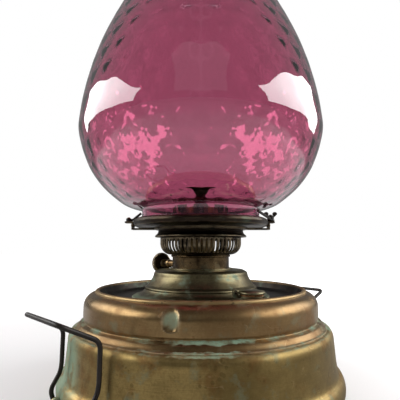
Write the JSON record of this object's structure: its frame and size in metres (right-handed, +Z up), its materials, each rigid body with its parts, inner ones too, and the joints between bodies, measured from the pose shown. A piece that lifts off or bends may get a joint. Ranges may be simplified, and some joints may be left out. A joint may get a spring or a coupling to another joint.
{
  "type": "oil heater lamp",
  "caption": "Oil heater lamp: spun brass tank with wire bail handles, round wick burner with winder, clip gallery and a dimpled ruby glass globe.",
  "frame": {"origin": "centre of the flat underside of the foot, on the lamp's axis", "axes": "+Z up along the lamp's axis, -Y towards the viewer of the picture, +X to the viewer's right"},
  "size_m": [0.2362, 0.224, 0.3998],
  "materials": {
    "aged_brass": "aged satin brass with verdigris in the grooves",
    "dull_brass": "dull grey-green brass",
    "burner_bronze": "dark tarnished bronze",
    "warm_brass": "satin brass",
    "tray_metal": "dark worn tin-grey",
    "black_wire": "black steel wire",
    "cork": "oiled cork",
    "wick_cotton": "woven cotton with a charred top",
    "ruby_glass": "cranberry glass with pressed dimples"
  },
  "bodies": {
    "tank": {"lower_drum": "aged_brass", "base_plate": "aged_brass", "upper_drum": "aged_brass", "tray_top": "tray_metal", "dome": "dull_brass", "burner_collar": "dull_brass", "filler_neck": "dull_brass", "filler_pin": "burner_bronze", "handle_eyes": "aged_brass"},
    "filler_cap": {"filler_lid": "dull_brass", "filler_washer": "cork"},
    "left_bail": {"handle_left": "black_wire"},
    "right_bail": {"handle_right": "black_wire"},
    "burner": {"burner_neck": "warm_brass", "neck_bead": "warm_brass", "air_basket": "burner_bronze", "burner_skirt": "burner_bronze", "burner_deck": "burner_bronze", "wick_tube": "warm_brass", "draught_tube": "warm_brass", "winder_gland": "warm_brass", "winder_bracket": "warm_brass"},
    "winder": {"winder_shaft": "burner_bronze", "spur_wheels": "warm_brass", "winder_knob": "burner_bronze"},
    "wick_carrier": {"wick": "wick_cotton"},
    "spreader": {"flame_spreader": "burner_bronze", "spreader_stem": "burner_bronze"},
    "gallery": {"gallery_strap": "burner_bronze", "gallery_pan": "burner_bronze", "strap_rivets": "warm_brass", "prong_ring": "burner_bronze", "clip_pin": "warm_brass", "wing_stud": "burner_bronze"},
    "left_clip": {"clip_left": "black_wire"},
    "right_clip": {"clip_right": "black_wire"},
    "clamp_nut": {"wing_nut": "black_wire"},
    "globe": {"glass_globe": "ruby_glass"}
  },
  "joints": [
    {"name": "filler_cap_hinge", "type": "hinge", "parent": "tank", "child": "filler_cap", "pos_m": [0.02392, -0.05781, 0.0796], "axis": [0, -1, 0], "range_deg": [0, 115]},
    {"name": "left_bail_hinge", "type": "hinge", "parent": "tank", "child": "left_bail", "pos_m": [-0.08061, -0.07784, 0.0096], "axis": [0.6947, -0.7193, 0], "range_deg": [0, 76]},
    {"name": "right_bail_hinge", "type": "hinge", "parent": "tank", "child": "right_bail", "pos_m": [0.09066, 0.06587, 0.0096], "axis": [-0.5878, 0.809, 0], "range_deg": [0, 76]},
    {"name": "burner_unscrew", "type": "slide", "parent": "tank", "child": "burner", "axis": [0, 0, 1], "range_m": [0, 0.025]},
    {"name": "winder_turn", "type": "hinge", "parent": "burner", "child": "winder", "pos_m": [-0.01193, -0.00876, 0.0966], "axis": [0.592, -0.8059, 0], "range_deg": [0, 120]},
    {"name": "wick_raise", "type": "slide", "parent": "burner", "child": "wick_carrier", "axis": [0, 0, 1], "range_m": [0, 0.008]},
    {"name": "spreader_lift", "type": "slide", "parent": "burner", "child": "spreader", "axis": [0, 0, 1], "range_m": [0, 0.03]},
    {"name": "gallery_lift", "type": "slide", "parent": "burner", "child": "gallery", "axis": [0, 0, 1], "range_m": [0, 0.03]},
    {"name": "left_clip_swing", "type": "hinge", "parent": "gallery", "child": "left_clip", "pos_m": [-0.063, 0, 0.1345], "axis": [0, 0, 1], "range_deg": [0, 80]},
    {"name": "right_clip_swing", "type": "hinge", "parent": "gallery", "child": "right_clip", "pos_m": [0.0612, 0, 0.1342], "axis": [0, 0, 1], "range_deg": [0, 60]},
    {"name": "clamp_nut_turn", "type": "hinge", "parent": "gallery", "child": "clamp_nut", "pos_m": [0.0612, 0, 0.137], "axis": [0, 0, 1], "range_deg": [0, 360]},
    {"name": "globe_lift", "type": "slide", "parent": "gallery", "child": "globe", "axis": [0, 0, 1], "range_m": [0, 0.06]}
  ],
  "couplings": [
    {"joint": "wick_raise", "follows": "winder_turn", "m_per_rad": 0.0038}
  ]
}
